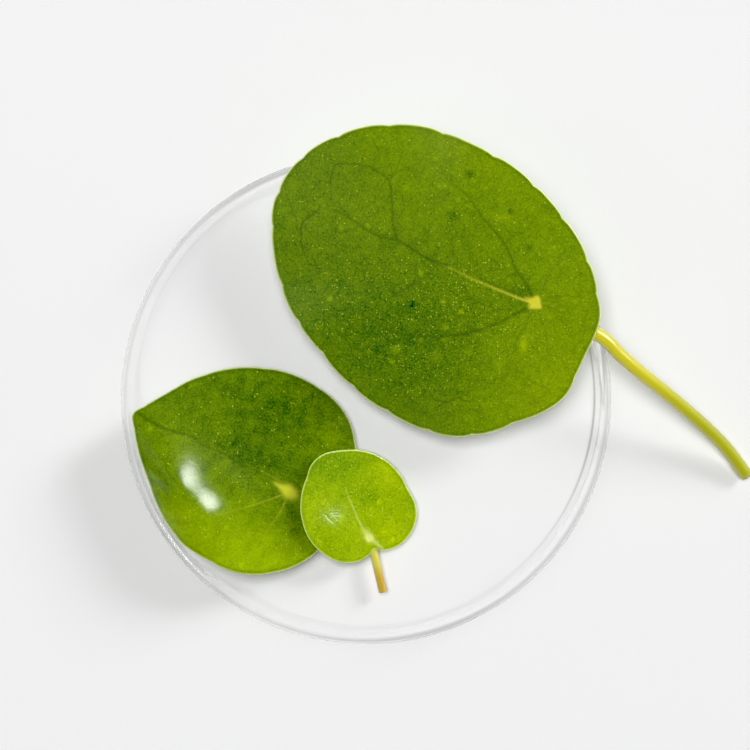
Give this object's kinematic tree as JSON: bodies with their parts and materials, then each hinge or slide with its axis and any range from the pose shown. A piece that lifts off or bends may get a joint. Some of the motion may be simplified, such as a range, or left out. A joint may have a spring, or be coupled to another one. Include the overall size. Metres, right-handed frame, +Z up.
{
  "type": "petri dish of cut round leaves",
  "caption": "Shallow clear glass dish holding cut round green leaves, the largest lying across the rim with its long stalk running down to the table.",
  "frame": {"origin": "centre of the dish's flat underside", "axes": "+Z up out of the dish; +X towards the side where the large leaf's stalk runs down to the table; +Y towards the side where the large leaf hangs over the rim"},
  "size_m": [0.1309, 0.1058, 0.0256],
  "materials": {
    "clear_glass": "clear polished glass",
    "large_leaf_green": "fresh waxy leaf, mid green",
    "middle_leaf_green": "fresh glossy leaf, deep green",
    "small_leaf_green": "fresh leaf, bright yellow-green"
  },
  "bodies": {
    "root": {"glass_dish": "clear_glass", "large_leaf": "large_leaf_green", "middle_leaf": "middle_leaf_green", "small_leaf": "small_leaf_green"}
  },
  "joints": []
}
